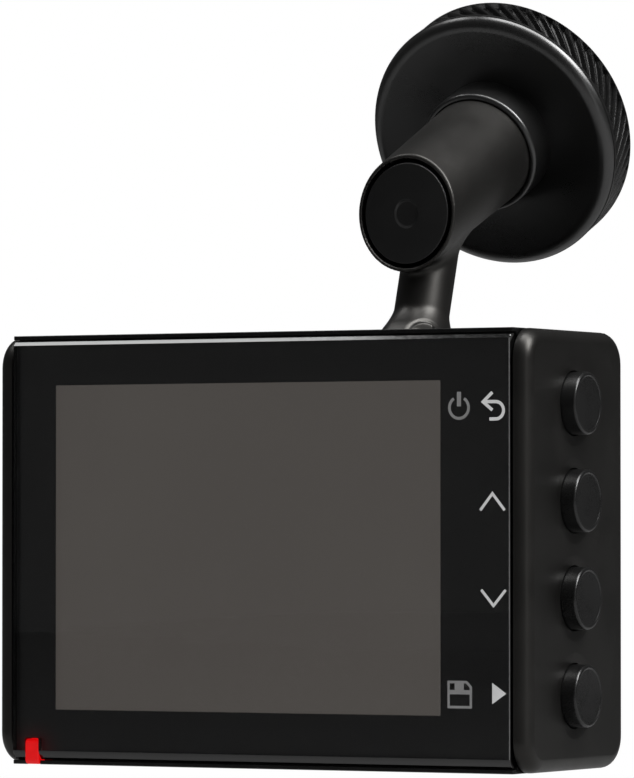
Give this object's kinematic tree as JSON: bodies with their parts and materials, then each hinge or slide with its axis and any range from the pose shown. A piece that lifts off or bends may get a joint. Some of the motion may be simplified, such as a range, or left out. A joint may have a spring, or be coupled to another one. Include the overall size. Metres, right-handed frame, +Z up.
{
  "type": "dash camera",
  "caption": "Compact windshield dash camera: screen and light on the rear, side push buttons, front lens barrel, tilting arm and round knurled mounting disc.",
  "frame": {"origin": "centre of the camera's flat underside", "axes": "+Z up, +Y out through the windshield (the way the lens looks), -Y towards the driver (the screen side), +X the button side"},
  "size_m": [0.0576, 0.0359, 0.0725],
  "materials": {
    "satin_black": "satin moulded black",
    "gloss_black": "polished black",
    "soft_black": "matt black",
    "knurled_black": "satin black with slanted ridges",
    "dark_window": "clear, printed black round the screen",
    "screen_grey": "unlit liquid crystal display",
    "lens_glass": "coated optical glass",
    "red_light": "clear red light pipe, lit",
    "circuit_board": "green solder mask",
    "black_component": "black component body",
    "led_body": "small clear lamp",
    "plated_tin": "tin plated",
    "steel": "zinc or nickel plated",
    "brass": "plain",
    "battery_wrap": "foil pouch",
    "amber_film": "printed film"
  },
  "bodies": {
    "windshield_plate": {"steel_plate": "steel", "adhesive_pad": "soft_black"},
    "mount_disc": {"mount_disc": "satin_black", "grip_ring": "knurled_black", "disc_magnet": "steel", "swivel_nut": "brass", "swivel_screw": "steel", "spring_washer": "steel"},
    "mount_arm": {"mount_arm": "satin_black", "arm_end_cap": "satin_black", "friction_washer": "brass"},
    "button_back": {"button_back": "satin_black"},
    "button_up": {"button_up": "satin_black"},
    "button_down": {"button_down": "satin_black"},
    "button_play": {"button_play": "satin_black"},
    "memory_card": {"memory_card": "black_component"},
    "camera": {"battery": "battery_wrap", "board_screw_1": "steel", "board_screw_2": "steel", "board_screw_3": "steel", "bracket_screw_1": "steel", "bracket_screw_2": "steel", "button_board": "circuit_board", "card_socket": "plated_tin", "display_back_plate": "plated_tin", "display_panel": "screen_grey", "display_ribbon": "amber_film", "front_lens": "lens_glass", "image_sensor": "black_component", "left_end_cap": "satin_black", "lens_barrel": "satin_black", "lens_bezel": "soft_black", "lens_holder": "soft_black", "lens_screw_1": "steel", "lens_screw_2": "steel", "lens_shroud": "satin_black", "main_board": "circuit_board", "main_shell": "gloss_black", "microphone": "plated_tin", "middle_lens": "lens_glass", "processor_shield": "plated_tin", "rear_lens": "lens_glass", "rear_window": "dark_window", "record_led": "led_body", "record_light_pipe": "red_light", "right_end_cap": "satin_black", "sensor_board": "circuit_board", "speaker": "black_component", "switch_1": "black_component", "switch_2": "black_component", "switch_3": "black_component", "switch_4": "black_component", "tilt_bracket": "steel", "tilt_pin": "steel", "tilt_washer_left": "brass", "tilt_washer_right": "brass", "usb_socket": "plated_tin", "window_gasket": "soft_black"}
  },
  "joints": [
    {"name": "magnet_release", "type": "slide", "parent": "windshield_plate", "child": "mount_disc", "axis": [0, -0.9171, -0.3987], "range_m": [0, 0.02]},
    {"name": "arm_swivel", "type": "hinge", "parent": "mount_disc", "child": "mount_arm", "pos_m": [0.01185, 0.01523, 0.05934], "axis": [0, 0.9171, 0.3987], "continuous": true},
    {"name": "camera_tilt", "type": "hinge", "parent": "mount_arm", "child": "camera", "pos_m": [0.01185, -0.001, 0.0373], "axis": [1, 0, 0], "range_deg": [-32, 4]},
    {"name": "button_back_press", "type": "slide", "parent": "camera", "child": "button_back", "axis": [-1, 0, 0], "range_m": [0, 0.0004], "stiffness_N_per_m": 40},
    {"name": "button_up_press", "type": "slide", "parent": "camera", "child": "button_up", "axis": [-1, 0, 0], "range_m": [0, 0.0004], "stiffness_N_per_m": 40},
    {"name": "button_down_press", "type": "slide", "parent": "camera", "child": "button_down", "axis": [-1, 0, 0], "range_m": [0, 0.0004], "stiffness_N_per_m": 40},
    {"name": "button_play_press", "type": "slide", "parent": "camera", "child": "button_play", "axis": [-1, 0, 0], "range_m": [0, 0.0004], "stiffness_N_per_m": 40},
    {"name": "memory_card_slide", "type": "slide", "parent": "camera", "child": "memory_card", "axis": [-1, 0, 0], "range_m": [-0.0006, 0.013]}
  ]
}
